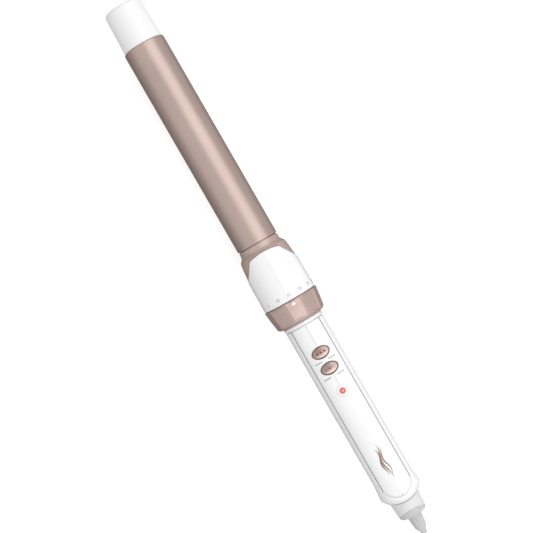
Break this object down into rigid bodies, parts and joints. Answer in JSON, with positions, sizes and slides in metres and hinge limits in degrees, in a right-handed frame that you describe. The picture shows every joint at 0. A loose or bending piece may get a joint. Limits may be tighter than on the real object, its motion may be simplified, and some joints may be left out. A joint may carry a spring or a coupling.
{
  "type": "curling iron",
  "caption": "Clipless curling iron with a heated round barrel, cool tip, numbered heat dial, push buttons and pilot light on a slim handle, cord swivel and fold-out counter stand.",
  "frame": {"origin": "on the surface the iron lies on, under the middle of its length", "axes": "+X along the iron from the cool tip towards the cord end, +Z out of the front with the buttons, +Y to its side, towards the high end of the heat scale"},
  "size_m": [0.3496, 0.0338, 0.034],
  "materials": {
    "barrel_metal": "satin rose-gold ceramic coating on a drawn tube",
    "rose_trim": "satin rose-gold plating on moulded plastic",
    "white_gloss": "polished white moulding",
    "white_satin": "satin heat-resistant white moulding",
    "grey_plastic": "light grey moulding",
    "grey_rubber": "soft grey moulding with flutes",
    "phenolic": "dark heat-resistant moulding",
    "spreader_aluminium": "extruded",
    "steel": "zinc plated",
    "brass": "stamped or turned",
    "heater_ceramic": "pressed ceramic",
    "mica": "thin insulating sheet",
    "board_green": "solder mask",
    "black_plastic": "moulded",
    "nylon": "natural moulding",
    "red_lens": "clear red moulding, lit from behind",
    "film_yellow": "dipped",
    "lead_red": "silicone sleeve",
    "lead_white": "silicone sleeve"
  },
  "bodies": {
    "iron_body": {"barrel": "barrel_metal", "barrel_base_bush": "phenolic", "barrel_screw_1": "steel", "barrel_screw_2": "steel", "board_screw_1": "steel", "board_screw_2": "steel", "brush_holder": "phenolic", "brush_live": "brass", "brush_neutral": "brass", "ceramic_heater": "heater_ceramic", "control_board": "board_green", "control_panel": "white_gloss", "cool_tip": "white_satin", "dial_friction_washer": "brass", "dial_trim_ring": "white_gloss", "electrolytic_capacitor": "black_plastic", "film_capacitor": "film_yellow", "handle_front_shell": "white_gloss", "handle_rear_shell": "white_gloss", "handle_screw_1": "steel", "handle_screw_2": "steel", "handle_screw_3": "steel", "heat_spreader_lower": "spreader_aluminium", "heat_spreader_upper": "spreader_aluminium", "heater_electrode_lower": "brass", "heater_electrode_upper": "brass", "heater_lead_live": "lead_red", "heater_lead_neutral": "lead_white", "heater_sheet_lower": "mica", "heater_sheet_upper": "mica", "indicator_diode": "red_lens", "indicator_lens": "red_lens", "microcontroller": "black_plastic", "neck_collar": "rose_trim", "potentiometer": "black_plastic", "power_switch": "black_plastic", "scale_housing": "white_gloss", "stand_hinge_pin": "steel", "supply_lead_live": "lead_red", "supply_lead_neutral": "lead_white", "thermal_fuse": "steel", "thermistor": "black_plastic", "thermistor_lead": "black_plastic", "tip_insulator": "phenolic", "tip_screw": "steel", "triac": "black_plastic", "turbo_switch": "black_plastic"},
    "heat_dial": {"heat_dial": "rose_trim", "dial_ring_gear": "nylon"},
    "dial_pinion": {"dial_pinion": "nylon", "potentiometer_shaft": "steel"},
    "turbo_button": {"turbo_button": "rose_trim"},
    "power_button": {"power_button": "rose_trim"},
    "counter_stand": {"counter_stand": "grey_plastic"},
    "cord_swivel": {"swivel_sleeve": "grey_plastic", "strain_relief": "grey_rubber", "swivel_spindle": "nylon", "slip_ring_live": "brass", "slip_ring_neutral": "brass"}
  },
  "joints": [
    {"name": "dial_turn", "type": "hinge", "parent": "iron_body", "child": "heat_dial", "pos_m": [0.0268, 0, 0.017], "axis": [1, 0, 0], "range_deg": [-78, 78]},
    {"name": "pinion_turn", "type": "hinge", "parent": "iron_body", "child": "dial_pinion", "pos_m": [0.0258, 0, 0.0226], "axis": [1, 0, 0], "range_deg": [-141, 141]},
    {"name": "turbo_press", "type": "slide", "parent": "iron_body", "child": "turbo_button", "axis": [0, 0, -1], "range_m": [0, 0.0007], "stiffness_N_per_m": 800, "springref_m": -0.001},
    {"name": "power_press", "type": "slide", "parent": "iron_body", "child": "power_button", "axis": [0, 0, -1], "range_m": [0, 0.0007], "stiffness_N_per_m": 800, "springref_m": -0.001},
    {"name": "stand_fold", "type": "hinge", "parent": "iron_body", "child": "counter_stand", "pos_m": [0.0125, 0, 0.0034], "axis": [0, -1, 0], "range_deg": [0, 85]},
    {"name": "swivel_turn", "type": "hinge", "parent": "iron_body", "child": "cord_swivel", "pos_m": [0.155, 0, 0.017], "axis": [1, 0, 0], "continuous": true}
  ],
  "couplings": [
    {"joint": "pinion_turn", "follows": "dial_turn", "ratio": 1.8}
  ]
}
